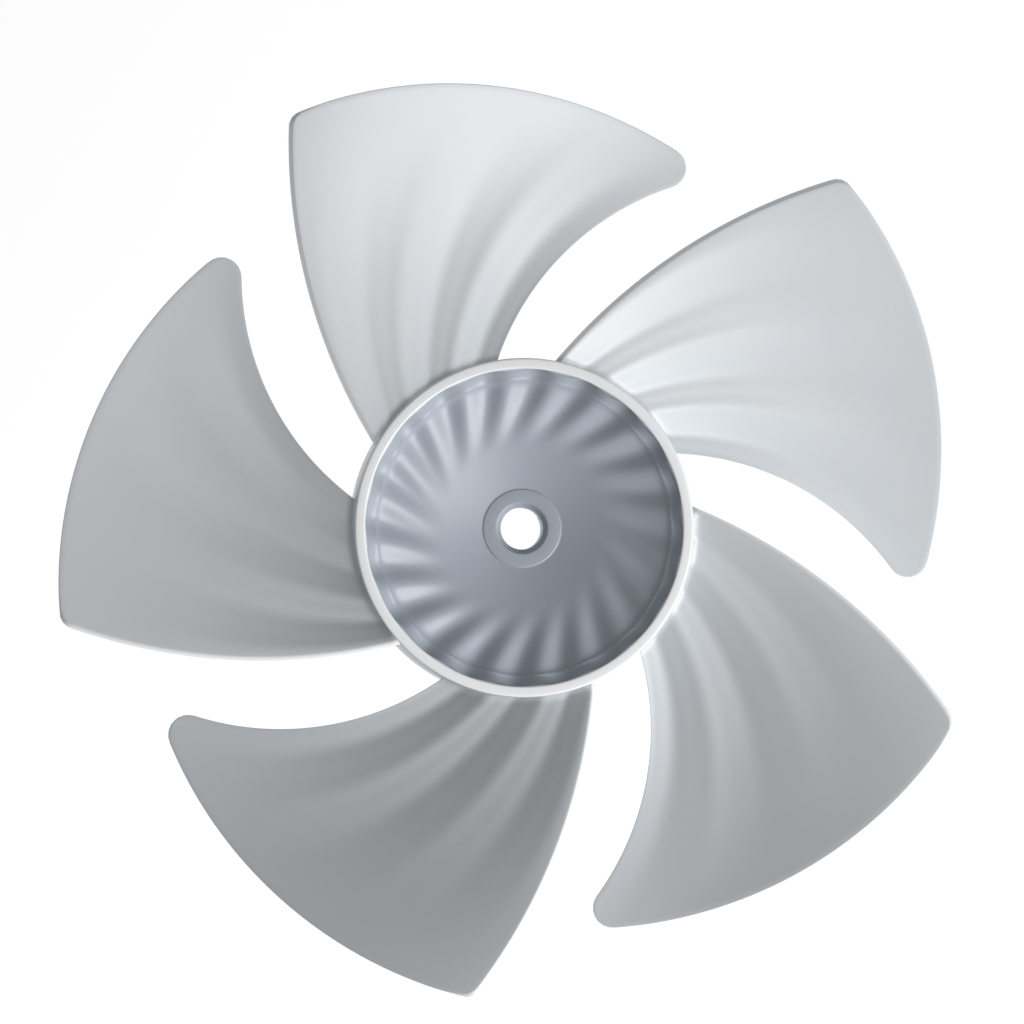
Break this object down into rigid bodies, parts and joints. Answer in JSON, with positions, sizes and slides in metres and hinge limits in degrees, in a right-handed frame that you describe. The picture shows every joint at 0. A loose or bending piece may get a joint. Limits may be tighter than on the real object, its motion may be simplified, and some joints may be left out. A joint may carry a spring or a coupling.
{
  "type": "pedestal fan blade",
  "caption": "One-piece moulded axial fan wheel for a pedestal fan: swept, twisted blades round a cup-shaped hub with a fluted front dish and a bored boss that slides on the motor shaft.",
  "frame": {"origin": "on the shaft axis, in the plane of the hub's rear edge", "axes": "+Z along the shaft towards the front, where the air leaves; +X through the middle of one blade's root; the wheel turns clockwise seen from the front"},
  "size_m": [0.2893, 0.2849, 0.0482],
  "materials": {
    "moulded_plastic": "glossy as moulded, light cool grey, slightly translucent"
  },
  "bodies": {
    "root": {"fan_blade": "moulded_plastic"}
  },
  "joints": []
}
